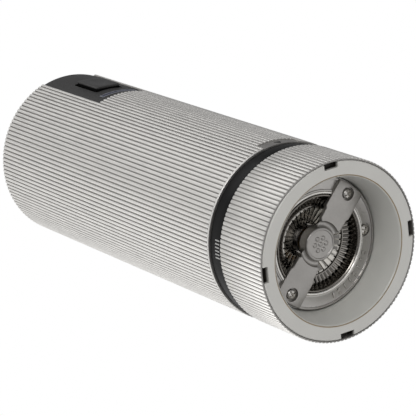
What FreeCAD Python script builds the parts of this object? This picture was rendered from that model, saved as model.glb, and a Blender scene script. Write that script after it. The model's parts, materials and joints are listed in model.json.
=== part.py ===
"""Rechargeable pepper mill: a lower grinding unit, and a ribbed sleeve with the drive that lifts off it.

The frame is in millimetres. +Z runs up the mill from the grinding end, which stands on the table at z = 0,
to the top. The origin is the centre of that end, and the push button faces -Y.
"""
import FreeCAD, Part
import math
import os
import sys

import Sketcher

sys.path.append(os.path.join(FreeCAD.getHomePath(), "Mod", "PartDesign"))
from fcgear import fcgear, involute

os.makedirs("parts", exist_ok=True)
doc = FreeCAD.newDocument("PepperMill")

# ---------------------------------------------------------------------------------------------------------
# Driving dimensions. Heights are measured from the table; a name ending in _low or _top is a height.

DIMENSIONS = {
    "crest_radius": 26.5,
    "rib_groove": 0.38,
    "rib_count": 128,
    "mill_top": 150.0,
    "running_gap": 0.05,
    "assembly_gap": 0.1,
    # grip, scale and base insert, which turn together to set the grind
    "grip_low": 0.15,
    "grip_bore": 24.75,
    "grip_top": 20.5,
    "rim_depth": 3.2,
    "insert_flange": 25.75,
    "mouth_radius": 21.6,
    "throat_radius": 19.65,
    "ledge_radius": 18.7,
    "ledge_low": 12.25,
    "ledge_top": 14.15,
    "insert_bore": 22.15,
    "notch_width": 4.7,
    "notch_inner": 23.4,
    "notch_depth": 2.4,
    "band_radius": 25.9,
    "band_bore": 24.6,
    "band_low": 20.6,
    "band_top": 26.2,
    "dash_length": 2.2,
    "dash_low": 21.2,
    "cam_top": 24.45,
    "cam_drop": 0.9,
    "detent_level": 18.0,
    "detent_ball_radius": 1.2,
    # mechanism plate, crossbar and their screws
    "plate_radius": 19.3,
    "plate_low": 10.0,
    "plate_thickness": 2.0,
    "plate_hole": 14.25,
    "bar_low": 9.3,
    "bar_thickness": 1.5,
    "bar_half_width": 4.7,
    "bar_waist": 4.1,
    "bar_neck": 3.3,
    "boss_radius": 4.9,
    "boss_top": 12.4,
    "plate_screw_circle": 16.05,
    "bar_screw_circle": 16.35,
    "screw_head": 1.65,
    "screw_shank": 1.15,
    "screw_top": 18.0,
    # burrs and spindle
    "burr_body": 14.1,
    "burr_flange": 17.0,
    "burr_mouth": 13.55,
    "burr_throat": 12.3,
    "burr_entry": 13.3,
    "ring_burr_low": 9.8,
    "ring_burr_top": 23.0,
    "cone_low": 12.2,
    "cone_radius": 13.3,
    "cone_top": 24.0,
    "shaft_radius": 3.0,
    "pin_radius": 2.0,
    "pin_low": 11.25,
    "hex_flats": 5.0,
    "hex_low": 29.0,
    "shaft_top": 73.0,
    "lifter_low": 24.3,
    "lifter_hub": 5.2,
    "lifter_top": 27.2,
    "arm_low": 24.6,
    "arm_top": 26.4,
    "arm_width": 4.0,
    "arm_reach": 24.1,
    # chassis and hopper
    "chassis_low": 12.05,
    "chassis_foot": 18.45,
    "chassis_radius": 21.9,
    "flange_low": 26.5,
    "flange_top": 29.0,
    "flange_radius": 24.3,
    "funnel_radius": 20.0,
    "cup_radius": 24.2,
    "cup_bore": 22.6,
    "cup_low": 29.5,
    "cup_top": 67.0,
    # sleeve, panel and cap
    "sleeve_low": 26.5,
    "sleeve_top": 149.2,
    "sleeve_bore": 25.0,
    "lip_radius": 26.1,
    "lip_height": 0.6,
    "panel_low": 113.2,
    "panel_radius": 25.95,
    "recess_width": 10.4,
    "recess_depth": 0.7,
    "recess_low": 122.5,
    "recess_top": 137.0,
    "button_width": 8.6,
    "button_height": 13.0,
    "button_level": 129.75,
    "button_face": 26.45,
    "lens_low": 116.6,
    "lens_top": 118.5,
    "cap_low": 146.5,
    "cap_radius": 24.9,
    "plug_slot_half": 2.7,
    "plug_slot_reach": 2.9,
    # drive housing and gearbox
    "housing_radius": 24.6,
    "housing_bore": 23.2,
    "housing_low": 68.0,
    "housing_floor": 2.0,
    "housing_top": 146.0,
    "window_near": 14.0,
    "window_half": 16.5,
    "window_low": 109.0,
    "hub_radius": 4.5,
    "gearbox_radius": 16.5,
    "gear_module": 0.5,
    "planet_circle": 7.5,
    "planet_pin": 1.0,
    "carrier_radius": 10.5,
    "gearbox_low": 72.0,
    "gearbox_top": 88.0,
    "stage_two_low": 74.2,
    "stage_one_low": 81.9,
    "gear_width": 5.0,
    "tie_circle": 14.65,
    # motor, cell and electronics
    "motor_radius": 10.2,
    "motor_low": 90.05,
    "motor_top": 118.0,
    "motor_shaft_radius": 1.0,
    "motor_screw_circle": 8.0,
    "cell_radius": 8.25,
    "cell_length": 34.0,
    "cell_level": 136.5,
    "cell_back": 6.0,
    "cradle_half_length": 16.0,
    "cradle_half_width": 8.5,
    "board_width": 30.0,
    "board_front": 17.3,
    "board_thickness": 1.6,
    "board_low": 112.0,
    "board_top": 145.5,
    "port_width": 8.94,
    "port_height": 3.26,
    "port_low": 139.5,
    "port_top": 146.4,
}

SUN_TEETH = 12
PLANET_TEETH = 18
RING_TEETH = 48
PRESSURE_ANGLE = 25.0
TOOTH_THINNING = -0.12

ENTRY_FLUTES = 24
FINE_TEETH = 48
COARSE_TEETH = 14

# Angles about the mill's axis, in degrees from +X.
FRONT = -90.0
BAR_ANGLE = -51.2
PLATE_SCREW_ANGLE = -2.8
NOTCH_ANGLE = -3.9
DASH_ANGLE = 176.1
DASH_PITCH = 2.26
DASH_COUNT = 6
ARM_ANGLES = (30.0, 150.0, 270.0)
PANEL_SPREAD = 20.75
PANEL_GAP_ANGLE = 0.34
LENS_SPREAD = 13.7
DETENT_ANGLE = 90.0
DETENT_PITCH = 15.0
CAM_STEPS = 6
CAM_STEP_ANGLE = 15.0
PLANET_ANGLES = (0.0, 120.0, 240.0)
PLANET_TURN = 10.0
RING_TURN = 180.0 / RING_TEETH


class Size:
    """A length worked out from the sheet: its value now, and the expression that binds it to the cells."""

    def __init__(self, value, text):
        self.value = float(value)
        self.text = text

    def combined(self, other, sign, value):
        text = other.text if isinstance(other, Size) else f"{float(other):.6f}"
        return Size(value, f"({self.text} {sign} {text})")

    def __add__(self, other):
        return self.combined(other, "+", self.value + number(other))

    def __sub__(self, other):
        return self.combined(other, "-", self.value - number(other))

    def __mul__(self, other):
        return self.combined(other, "*", self.value * number(other))

    def __truediv__(self, other):
        return self.combined(other, "/", self.value / number(other))

    def __neg__(self):
        return Size(-self.value, f"(0 - {self.text})")

    def __rsub__(self, other):
        return Size(other - self.value, f"({float(other):.6f} - {self.text})")

    __radd__ = __add__
    __rmul__ = __mul__


def number(value):
    """The plain number of a Size or of a number."""
    return value.value if isinstance(value, Size) else float(value)


sheet = doc.addObject("Spreadsheet::Sheet", "Sizes")
for row, (alias, value) in enumerate(DIMENSIONS.items(), start=1):
    sheet.set(f"A{row}", alias)
    sheet.set(f"B{row}", str(value))
    sheet.setAlias(f"B{row}", alias)
doc.recompute()


class Sizes:
    """Gives each cell of the sheet as a Size, by its alias."""

    def __getattr__(self, alias):
        return Size(DIMENSIONS[alias], f"Sizes.{alias}")


size = Sizes()
sub_parts = {}

# ---------------------------------------------------------------------------------------------------------
# Building blocks


def bind(thing, **properties):
    """Sets properties, and binds those given as a Size to the sheet."""
    for name, value in properties.items():
        setattr(thing, name, number(value))
        if isinstance(value, Size):
            thing.setExpression(name, value.text)
    return thing


def turned_xy(x, y, turn):
    """The point (x, y) turned about the mill's axis."""
    cosine = math.cos(math.radians(turn))
    sine = math.sin(math.radians(turn))
    return x * cosine - y * sine, x * sine + y * cosine


def place(thing, x, y, z, rotation=None):
    """Puts a thing at a point whose coordinates stay bound to the sheet."""
    thing.Placement = FreeCAD.Placement(
        FreeCAD.Vector(number(x), number(y), number(z)), rotation or FreeCAD.Rotation())
    for axis, value in (("x", x), ("y", y), ("z", z)):
        if isinstance(value, Size):
            thing.setExpression(f"Placement.Base.{axis}", value.text)
    return thing


def cylinder(radius, low, top, x=0.0, y=0.0, turn=0.0, sector=360.0):
    """An upright cylinder, or a sector of one that starts at the angle turn."""
    thing = doc.addObject("Part::Cylinder", "Cylinder")
    bind(thing, Radius=radius, Height=top - low, Angle=sector)
    x, y = turned_xy(x, y, turn)
    return place(thing, x, y, low, FreeCAD.Rotation(FreeCAD.Vector(0, 0, 1), turn))


def rod(radius, start, end, level, turn=0.0, side=0.0):
    """A cylinder that lies along the radial direction turn, from one distance from the axis to another."""
    thing = doc.addObject("Part::Cylinder", "Rod")
    bind(thing, Radius=radius, Height=end - start)
    x, y = turned_xy(start, side, turn)
    rotation = FreeCAD.Rotation(FreeCAD.Vector(0, 0, 1), turn).multiply(
        FreeCAD.Rotation(FreeCAD.Vector(0, 1, 0), 90))
    return place(thing, x, y, level, rotation)


def box(near, far, left, right, low, top, turn=0.0):
    """A box from near to far along the direction turn, from right to left across it, and from low to top."""
    thing = doc.addObject("Part::Box", "Box")
    bind(thing, Length=far - near, Width=left - right, Height=top - low)
    x, y = turned_xy(near, right, turn)
    return place(thing, x, y, low, FreeCAD.Rotation(FreeCAD.Vector(0, 0, 1), turn))


def fused(*things):
    joined = doc.addObject("Part::MultiFuse", "Joined")
    joined.Shapes = list(things)
    return joined


def cut(base, *tools):
    """Takes each tool in turn out of the base."""
    for tool in tools:
        result = doc.addObject("Part::Cut", "Cut")
        result.Base = base
        result.Tool = tool
        base = result
    return base


def common(first, second):
    result = doc.addObject("Part::Common", "Common")
    result.Base = first
    result.Tool = second
    return result


def tube(outer, inner, low, top, x=0.0, y=0.0, turn=0.0):
    return cut(cylinder(outer, low, top, x, y, turn), cylinder(inner, low - 1, top + 1, x, y, turn))


def origin_feature(body, role):
    """One of a body's own origin planes or axes."""
    return next(feature for feature in body.Origin.OriginFeatures if feature.Role == role)


def sketch_on(body, role, name):
    sketch = body.newObject("Sketcher::SketchObject", name)
    sketch.AttachmentSupport = [(origin_feature(body, role), "")]
    sketch.MapMode = "FlatFace"
    return sketch


def revolved(points):
    """A body turned about the mill's axis from a closed outline of (radius, height) points."""
    body = doc.addObject("PartDesign::Body", "Turned")
    sketch = sketch_on(body, "XZ_Plane", "Outline")
    corners = [FreeCAD.Vector(number(radius), number(height), 0) for radius, height in points]
    for index, corner in enumerate(corners):
        sketch.addGeometry(Part.LineSegment(corner, corners[(index + 1) % len(corners)]), False)
    for index, (radius, height) in enumerate(points):
        following = (index + 1) % len(points)
        sketch.addConstraint(Sketcher.Constraint("Coincident", index, 2, following, 1))
        for kind, value in (("DistanceX", radius), ("DistanceY", height)):
            sketch.addConstraint(Sketcher.Constraint(kind, -1, 1, index, 1, number(value)))
            if isinstance(value, Size):
                sketch.setExpression(f"Constraints[{sketch.ConstraintCount - 1}]", value.text)
    turning = body.newObject("PartDesign::Revolution", "Turning")
    turning.Profile = sketch
    turning.ReferenceAxis = (sketch, ["V_Axis"])
    turning.Angle = 360
    doc.recompute()
    return body


def ribbed(body):
    """Cuts the fine lengthwise grooves that leave ribs all round a turned body."""
    sketch = sketch_on(body, "XY_Plane", "Groove")
    centre = FreeCAD.Vector(size.crest_radius.value, 0, 0)
    sketch.addGeometry(Part.Circle(centre, FreeCAD.Vector(0, 0, 1), size.rib_groove.value), False)
    sketch.addConstraint(Sketcher.Constraint("DistanceX", -1, 1, 0, 3, centre.x))
    sketch.setExpression("Constraints[0]", size.crest_radius.text)
    sketch.addConstraint(Sketcher.Constraint("PointOnObject", 0, 3, -1))
    sketch.addConstraint(Sketcher.Constraint("Radius", 0, size.rib_groove.value))
    sketch.setExpression("Constraints[2]", size.rib_groove.text)
    doc.recompute()
    solid_volume = body.Shape.Volume
    groove = body.newObject("PartDesign::Pocket", "RibGroove")
    groove.Profile = sketch
    groove.Type = "ThroughAll"
    groove.Reversed = True
    doc.recompute()
    ribs = body.newObject("PartDesign::PolarPattern", "Ribs")
    ribs.Originals = [groove]
    ribs.Axis = (origin_feature(body, "Z_Axis"), [""])
    ribs.Angle = 360
    ribs.Occurrences = DIMENSIONS["rib_count"]
    ribs.setExpression("Occurrences", "Sizes.rib_count")
    body.Tip = ribs
    doc.recompute()
    if body.Shape.Volume > solid_volume - 10:
        raise RuntimeError("the rib grooves cut nothing")
    return body


def shaped(name, shape):
    """A feature whose shape comes from Part's own functions."""
    thing = doc.addObject("Part::Feature", name)
    thing.Shape = shape
    return thing


def coil(radius, wire, low, top, turns):
    """A compression spring of round wire, between two heights, on the mill's axis."""
    height = number(top) - number(low) - 2 * wire
    helix = Part.makeHelix(height / turns, height, radius)
    helix.translate(FreeCAD.Vector(0, 0, number(low) + wire))
    start = FreeCAD.Vector(radius, 0, number(low) + wire)
    profile = Part.Wire([Part.Circle(start, FreeCAD.Vector(0, 1, 0), wire).toShape()])
    return Part.Wire(helix.Edges).makePipeShell([profile], True, True)


def gear_outline(teeth, external=True):
    """The closed outline of an involute gear centred on the axis, with a tooth on +X."""
    builder = fcgear.FCWireBuilder()
    module = DIMENSIONS["gear_module"]
    if external:
        involute.CreateExternalGear(
            builder, module, teeth, PRESSURE_ANGLE, split=False, shiftCoeff=TOOTH_THINNING)
    else:
        involute.CreateInternalGear(builder, module, teeth, PRESSURE_ANGLE, split=False)
    return Part.Wire([edge.toShape() for edge in builder.wire])


def gear(name, teeth, bore, low, x=0.0, y=0.0, turn=0.0):
    """A spur gear of the train, turned so that a tooth points along the angle turn."""
    blank = Part.Face(gear_outline(teeth)).extrude(FreeCAD.Vector(0, 0, size.gear_width.value))
    hole = Part.makeCylinder(number(bore), number(size.gear_width))
    return place(shaped(name, blank.cut(hole)), x, y, low, FreeCAD.Rotation(FreeCAD.Vector(0, 0, 1), turn))


def fluted(points, flutes, depth, twist):
    """A turned solid with tapering flutes, as a burr has: (radius, height) points up its outside."""
    (low_radius, low), (top_radius, top) = points
    wires = []
    for radius, height, turn in ((low_radius, low, 0.0), (top_radius, top, twist)):
        corners = []
        for step in range(2 * flutes):
            angle = math.radians(turn + 180.0 * step / flutes)
            reach = number(radius) - (depth if step % 2 else 0.0)
            corners.append(FreeCAD.Vector(reach * math.cos(angle), reach * math.sin(angle), number(height)))
        wires.append(Part.makePolygon(corners + corners[:1]))
    return Part.makeLoft(wires, True, True)


def keep(label, thing):
    """Names a finished sub-part."""
    thing.Label = label
    sub_parts[label] = thing
    return thing


# ---------------------------------------------------------------------------------------------------------
# Adjuster: what turns when the grind is set

grip = ribbed(revolved([
    (size.insert_flange + size.assembly_gap, size.grip_low),
    (size.crest_radius - 0.25, size.grip_low),
    (size.crest_radius, size.grip_low + 0.25),
    (size.crest_radius, size.grip_top - 0.2),
    (size.crest_radius - 0.2, size.grip_top),
    (size.grip_bore, size.grip_top),
    (size.grip_bore, size.rim_depth),
    (size.insert_flange + size.assembly_gap, size.rim_depth),
]))
keep("grip_ring", grip)

insert_turning = revolved([
    (size.mouth_radius + 0.5, 0.0),
    (size.insert_flange - 0.3, 0.0),
    (size.insert_flange, 0.3),
    (size.insert_flange, size.rim_depth - 0.1),
    (size.grip_bore - 0.05, size.rim_depth - 0.1),
    (size.grip_bore - 0.05, size.grip_top),
    (size.insert_bore, size.grip_top),
    (size.insert_bore, size.ledge_top),
    (size.ledge_radius, size.ledge_top),
    (size.ledge_radius, size.ledge_low),
    (size.throat_radius, size.ledge_low),
    (size.throat_radius, size.plate_low - 1),
    (size.throat_radius + 0.5, size.plate_low - 4),
    (size.mouth_radius - 0.6, 2.0),
    (size.mouth_radius, 0.6),
])
notches = [
    box(size.notch_inner, size.insert_flange + 1, size.notch_width / 2, -(size.notch_width / 2),
        -1.0, size.notch_depth, NOTCH_ANGLE + 90.0 * quarter)
    for quarter in range(4)
]
detent_track = tube(size.insert_bore + 0.55, size.insert_bore - 1,
                    size.detent_level - 1.4, size.detent_level + 1.4)
detent_notches = [
    cylinder(0.5, size.detent_level - 1.4, size.detent_level + 1.4,
             size.insert_bore + 0.5, 0.0, DETENT_ANGLE - DETENT_PITCH * step)
    for step in range(7)
]
keep("base_insert", cut(insert_turning, *notches, detent_track, *detent_notches))

dashes = [
    box(size.band_radius - 0.15, size.band_radius + 1, 0.25, -0.25,
        size.dash_low, size.dash_low + size.dash_length, DASH_ANGLE + DASH_PITCH * step)
    for step in range(DASH_COUNT)
]
keep("scale_band", cut(tube(size.band_radius, size.band_bore, size.band_low, size.band_top), *dashes))

cam_steps = []
for arm_angle in ARM_ANGLES:
    for step in range(CAM_STEPS + 2):
        fall = min(step / CAM_STEPS, 1.0)
        wedge = cylinder(
            size.band_bore - 0.1, size.grip_top, size.cam_top - size.cam_drop * fall,
            turn=arm_angle - CAM_STEP_ANGLE * (step + 0.5), sector=CAM_STEP_ANGLE)
        cam_steps.append(cut(wedge, cylinder(size.insert_bore, size.grip_top - 1, size.cam_top + 1)))
keep("adjuster_cam", fused(*cam_steps))

# ---------------------------------------------------------------------------------------------------------
# Mechanism seen from below: plate, crossbar, their screws and the spindle bush

screw_places = [
    (size.plate_screw_circle, PLATE_SCREW_ANGLE), (size.plate_screw_circle, PLATE_SCREW_ANGLE + 180),
    (size.bar_screw_circle, BAR_ANGLE), (size.bar_screw_circle, BAR_ANGLE + 180),
]


def screw_holes(radius, low, top):
    return [cylinder(radius, low, top, circle, 0.0, turn) for circle, turn in screw_places]


def screws(places, head_low, head_height):
    """Cross-head screws that drive upwards, with their heads down."""
    made = []
    for circle, turn in places:
        head_top = head_low + head_height
        blank = fused(
            cylinder(size.screw_head, head_low, head_top, circle, 0.0, turn),
            cylinder(size.screw_shank, head_top, size.screw_top, circle, 0.0, turn))
        slots = [
            box(circle - half_length, circle + half_length, half_width,
                -half_width, head_low - 1, head_low + 0.6, turn)
            for half_length, half_width in ((1.0, 0.25), (0.25, 1.0))
        ]
        made.append(cut(blank, *slots))
    return fused(*made)


plate_top = size.plate_low + size.plate_thickness
bar_top = size.bar_low + size.bar_thickness


def bar_seats(top):
    """The room that the two ends of the crossbar take in the parts they lie across."""
    half_width = size.bar_half_width + 0.15
    return [
        box(size.plate_hole - 2, size.plate_radius + 1, half_width, -half_width,
            size.ring_burr_low - 1, top, BAR_ANGLE + side)
        for side in (0.0, 180.0)
    ]


plate_key = box(size.plate_radius - 0.6, size.plate_radius + 1, 1.2, -1.2,
                size.plate_low - 1, plate_top + 1, DETENT_ANGLE + 3.2)
head_seats = [
    cylinder(size.screw_head + 0.1, size.plate_low - 1, size.plate_low + 0.9, circle, 0.0, turn)
    for circle, turn in screw_places[:2]
]
keep("mechanism_plate", cut(
    tube(size.plate_radius, size.plate_hole, size.plate_low, plate_top),
    *bar_seats(bar_top), *screw_holes(size.screw_shank + 0.1, size.plate_low - 1, plate_top + 1),
    *head_seats, plate_key))

bar_outline = fused(
    box(-(size.plate_radius), size.plate_radius, size.bar_neck, -(size.bar_neck), size.bar_low, bar_top),
    *[box(start, reach, half_width, -half_width, size.bar_low, bar_top, side)
      for start, reach, half_width in (
          (6.0, size.plate_radius, size.bar_waist), (9.6, size.plate_radius, size.bar_half_width))
      for side in (0.0, 180.0)],
    cylinder(size.boss_radius, size.bar_low + 0.3, size.boss_top))
bar_blank = common(bar_outline, cylinder(size.plate_radius - 0.15, size.bar_low - 1, size.boss_top + 1))
boss_ring = doc.addObject("Part::Torus", "BossRing")
bind(boss_ring, Radius1=size.boss_radius + 0.9, Radius2=0.6)
place(boss_ring, 0.0, 0.0, size.bar_low)
bar_seat_cut = [
    cylinder(size.screw_head + 0.1, size.bar_low - 1, size.bar_low + 0.8, circle, 0.0, side)
    for circle, side in ((size.bar_screw_circle, 0.0), (size.bar_screw_circle, 180.0))
]
bar_holes = [
    cylinder(size.screw_shank + 0.1, size.bar_low - 1, bar_top + 1, circle, 0.0, side)
    for circle, side in ((size.bar_screw_circle, 0.0), (size.bar_screw_circle, 180.0))
]
bar_bore = cylinder(size.pin_radius + 1.4, size.plate_low + 0.2, size.boss_top + 1)
crossbar = cut(bar_blank, boss_ring, *bar_seat_cut, *bar_holes, bar_bore)
crossbar.Placement = FreeCAD.Placement(FreeCAD.Vector(), FreeCAD.Rotation(FreeCAD.Vector(0, 0, 1), BAR_ANGLE))
keep("crossbar", crossbar)

keep("spindle_bush", tube(size.pin_radius + 1.38, size.pin_radius + size.running_gap,
                          size.plate_low + 0.22, size.boss_top))
keep("plate_screws", screws(screw_places[:2], size.plate_low - 0.3, 1.2))
keep("crossbar_screws", screws(screw_places[2:], size.bar_low - 0.15, 0.95))

# ---------------------------------------------------------------------------------------------------------
# Burrs

ring_turning = revolved([
    (size.burr_mouth, size.ring_burr_low + 0.3),
    (size.burr_mouth + 0.3, size.ring_burr_low),
    (size.burr_body - 0.2, size.ring_burr_low),
    (size.burr_body, size.ring_burr_low + 0.2),
    (size.burr_body, plate_top + 0.02),
    (size.burr_flange, plate_top + 0.02),
    (size.burr_flange, plate_top + 2),
    (size.burr_body, plate_top + 2),
    (size.burr_body, size.ring_burr_top),
    (size.burr_entry, size.ring_burr_top),
    (size.burr_throat, size.ring_burr_top - 4),
    (size.burr_mouth - 0.7, plate_top + 3.2),
    (size.burr_mouth, plate_top),
])
entry_flutes = shaped("EntryFlutes", fluted(
    ((size.burr_throat + 0.4, size.ring_burr_top - 4.4), (size.burr_entry + 0.45, size.ring_burr_top + 0.1)),
    ENTRY_FLUTES, 1.4, 0.0))
keep("ring_burr", cut(
    ring_turning, entry_flutes, *bar_seats(bar_top + 0.05),
    *screw_holes(size.screw_shank + 0.1, plate_top - 1, plate_top + 3)))

fine_height = size.cone_low + 3
cone_turning = revolved([
    (size.pin_radius + 2.4, size.cone_low + 2),
    (size.cone_radius - 3.0, size.cone_low + 2),
    (size.cone_radius - 2.6, size.cone_low),
    (size.cone_radius, size.cone_low),
    (size.cone_radius - 0.7, fine_height),
    (size.cone_radius - 2.3, fine_height + 2.8),
    (size.cone_radius - 5.8, size.cone_top - 2),
    (size.lifter_hub - 0.2, size.cone_top),
    (size.shaft_radius + 0.02, size.cone_top),
    (size.shaft_radius + 0.02, size.cone_low + 2.9),
    (size.pin_radius + 2.4, size.cone_low + 2.9),
])
fine_teeth = shaped("FineTeeth", fluted(
    ((size.cone_radius, size.cone_low - 0.01), (size.cone_radius - 0.7, fine_height)), FINE_TEETH, 0.5, 4.0))
coarse_teeth = shaped("CoarseTeeth", fluted(
    ((size.cone_radius - 0.5, fine_height), (size.lifter_hub + 1.2, size.cone_top + 0.01)),
    COARSE_TEETH, 1.3, 30.0))
keep("cone_burr", common(cone_turning, fused(fine_teeth, coarse_teeth)))

# ---------------------------------------------------------------------------------------------------------
# Spindle

hexagon = doc.addObject("Part::Prism", "HexDrive")
hexagon.Polygon = 6
bind(hexagon, Circumradius=size.hex_flats / math.sqrt(3.0), Height=size.shaft_top - size.hex_low)
place(hexagon, 0.0, 0.0, size.hex_low)
keep("drive_shaft", fused(
    cylinder(size.pin_radius, size.pin_low, size.cone_low + 1.2),
    cylinder(size.shaft_radius, size.cone_low + 1.2, size.hex_low),
    hexagon))
keep("burr_clip", tube(size.pin_radius + 2.3, size.shaft_radius + 0.02,
                       size.cone_low + 2.1, size.cone_low + 2.8))
keep("thrust_washer", tube(size.lifter_hub - 0.4, size.shaft_radius + 0.02, size.cone_top + 0.02,
                           size.lifter_low - 0.08))
keep("shaft_clip", tube(size.lifter_hub - 0.6, size.shaft_radius + 0.02, size.lifter_top + 0.1,
                        size.lifter_top + 0.9))

# ---------------------------------------------------------------------------------------------------------
# Burr lifter: a keyed spider that carries the spindle up and down on the cam

arms = [
    box(3.8, size.arm_reach, size.arm_width / 2, -(size.arm_width / 2),
        size.arm_low, size.arm_top, angle)
    for angle in ARM_ANGLES
]
keep("burr_lifter", cut(
    fused(cylinder(size.lifter_hub, size.lifter_low, size.lifter_top), *arms),
    cylinder(size.shaft_radius + 1.0, size.lifter_low - 1, size.lifter_top + 1)))
keep("lifter_bush", tube(size.shaft_radius + 0.98, size.shaft_radius + size.running_gap,
                         size.lifter_low, size.lifter_top))

# ---------------------------------------------------------------------------------------------------------
# Chassis, detent and lifter springs

chassis_turning = revolved([
    (size.burr_flange + 0.1, size.chassis_low),
    (size.chassis_foot, size.chassis_low),
    (size.chassis_foot, size.ledge_top + 0.2),
    (size.chassis_radius, size.ledge_top + 0.2),
    (size.chassis_radius, size.flange_low),
    (size.flange_radius, size.flange_low),
    (size.flange_radius, size.flange_top),
    (size.funnel_radius, size.flange_top),
    (size.burr_body + 0.15, size.ring_burr_top + 0.4),
    (size.burr_body + 0.15, plate_top + 2.05),
    (size.burr_flange + 0.1, plate_top + 2.05),
])


def arm_slots():
    """The slots that the lifter's arms and springs slide in."""
    return [
        box(10.0, size.flange_radius + 1, size.arm_width / 2 + 0.15, -(size.arm_width / 2 + 0.15),
            size.arm_low - size.cam_drop - 0.3, size.cup_low + 1, angle)
        for angle in ARM_ANGLES
    ]


detent_pocket = rod(size.detent_ball_radius + 0.05, size.chassis_radius - 4.2, size.chassis_radius + 1,
                    size.detent_level, DETENT_ANGLE)
keep("chassis", cut(chassis_turning, *arm_slots(), detent_pocket,
                    *screw_holes(size.screw_shank + 0.03, plate_top, size.screw_top + 0.5)))

ball = doc.addObject("Part::Sphere", "Ball")
bind(ball, Radius=size.detent_ball_radius)
ball_reach = size.insert_bore + 0.5 - size.detent_ball_radius
ball_x, ball_y = turned_xy(ball_reach, 0.0, DETENT_ANGLE)
keep("detent_ball", place(ball, ball_x, ball_y, size.detent_level))

detent_coil = coil(0.85, 0.15, 0.0, 2.4, 5)
detent_coil.rotate(FreeCAD.Vector(), FreeCAD.Vector(0, 1, 0), 90)
detent_coil.translate(FreeCAD.Vector(number(size.chassis_radius) - 4.15, 0, DIMENSIONS["detent_level"]))
detent_coil.rotate(FreeCAD.Vector(), FreeCAD.Vector(0, 0, 1), DETENT_ANGLE)
keep("detent_spring", shaped("DetentSpring", detent_coil))

lifter_coils = []
for arm_angle in ARM_ANGLES:
    spring = coil(1.4, 0.2, size.arm_top + 0.02, size.cup_low - 0.07, 3)
    spring.translate(FreeCAD.Vector(22.1, 0, 0))
    spring.rotate(FreeCAD.Vector(), FreeCAD.Vector(0, 0, 1), arm_angle)
    lifter_coils.append(spring)
keep("lifter_springs", shaped("LifterSprings", Part.makeCompound(lifter_coils)))

# ---------------------------------------------------------------------------------------------------------
# Hopper cup

keep("hopper_gasket", cut(
    tube(size.cup_radius - 0.2, size.funnel_radius + 0.5, size.flange_top + 0.02, size.cup_low - 0.02),
    *arm_slots()))
cup_turning = revolved([
    (size.funnel_radius, size.cup_low),
    (size.cup_radius, size.cup_low),
    (size.cup_radius, size.cup_top),
    (size.cup_bore, size.cup_top),
    (size.cup_bore, size.cup_low + 3.5),
    (size.funnel_radius, size.cup_low + 1.2),
])
KEY_ANGLES = (90.0, 210.0, 330.0)
key_slots = [
    box(size.cup_bore - 1, size.cup_radius + 1, 2.2, -2.2,
        size.cup_top - 3.5, size.cup_top + 1, angle)
    for angle in KEY_ANGLES
]
keep("hopper_cup", cut(cup_turning, *key_slots))

# ---------------------------------------------------------------------------------------------------------
# Sleeve, control panel, lens, button and cap

sleeve_body = ribbed(revolved([
    (size.sleeve_bore, size.sleeve_low),
    (size.lip_radius, size.sleeve_low),
    (size.lip_radius, size.sleeve_low + size.lip_height),
    (size.crest_radius, size.sleeve_low + size.lip_height + 0.3),
    (size.crest_radius, size.sleeve_top - 0.3),
    (size.crest_radius - 0.3, size.sleeve_top),
    (size.sleeve_bore, size.sleeve_top),
]))


def front_sector(outer, inner, spread, low, top):
    """A piece of a tube that spreads to both sides of the front by the same angle."""
    return cut(cylinder(outer, low, top, turn=FRONT - spread, sector=2 * spread),
               cylinder(inner, low - 1, top + 1))


keep("sleeve", cut(sleeve_body, front_sector(
    size.crest_radius + 1, size.sleeve_bore - 1, PANEL_SPREAD + PANEL_GAP_ANGLE,
    size.panel_low - 0.2, size.mill_top + 1)))

panel_face = front_sector(size.panel_radius, size.sleeve_bore - 0.1, PANEL_SPREAD,
                          size.panel_low, size.sleeve_top)
panel_back = front_sector(size.sleeve_bore - 0.05, size.housing_bore + 0.2, PANEL_SPREAD + 2.5,
                          size.panel_low - 1.7, size.cap_low - 0.1)
button_recess = box(size.panel_radius - size.recess_depth, size.panel_radius + 1, size.recess_width / 2,
                    -(size.recess_width / 2), size.recess_low, size.recess_top, FRONT)
button_hole = box(size.housing_bore - 2, size.panel_radius + 1, size.button_width / 2 + 0.15,
                  -(size.button_width / 2 + 0.15), size.button_level - size.button_height / 2 - 0.15,
                  size.button_level + size.button_height / 2 + 0.15, FRONT)
lens_slot = front_sector(size.crest_radius + 1, size.housing_bore - 1, LENS_SPREAD + 0.15,
                         size.lens_low - 0.05, size.lens_top + 0.05)
keep("control_panel", cut(fused(panel_face, panel_back), button_recess, button_hole, lens_slot))
keep("indicator_lens", front_sector(
    size.panel_radius, size.sleeve_bore, LENS_SPREAD, size.lens_low, size.lens_top))
keep("light_guide", box(size.board_front + 1.3, size.sleeve_bore - 1.0, 4.5, -4.5,
                        size.lens_low + 0.2, size.lens_top - 0.2, FRONT))

button_low = size.button_level - size.button_height / 2
button_high = size.button_level + size.button_height / 2
keep("push_button", fused(
    box(size.housing_bore - 0.8, size.button_face, size.button_width / 2, -(size.button_width / 2),
        button_low, button_high, FRONT),
    box(size.housing_bore - 1.6, size.housing_bore - 0.7, size.button_width / 2 + 1,
        -(size.button_width / 2 + 1), button_low - 1, button_high + 1, FRONT),
    rod(1.5, size.board_front + 4.15, size.housing_bore - 1.5, size.button_level, FRONT)))

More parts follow.
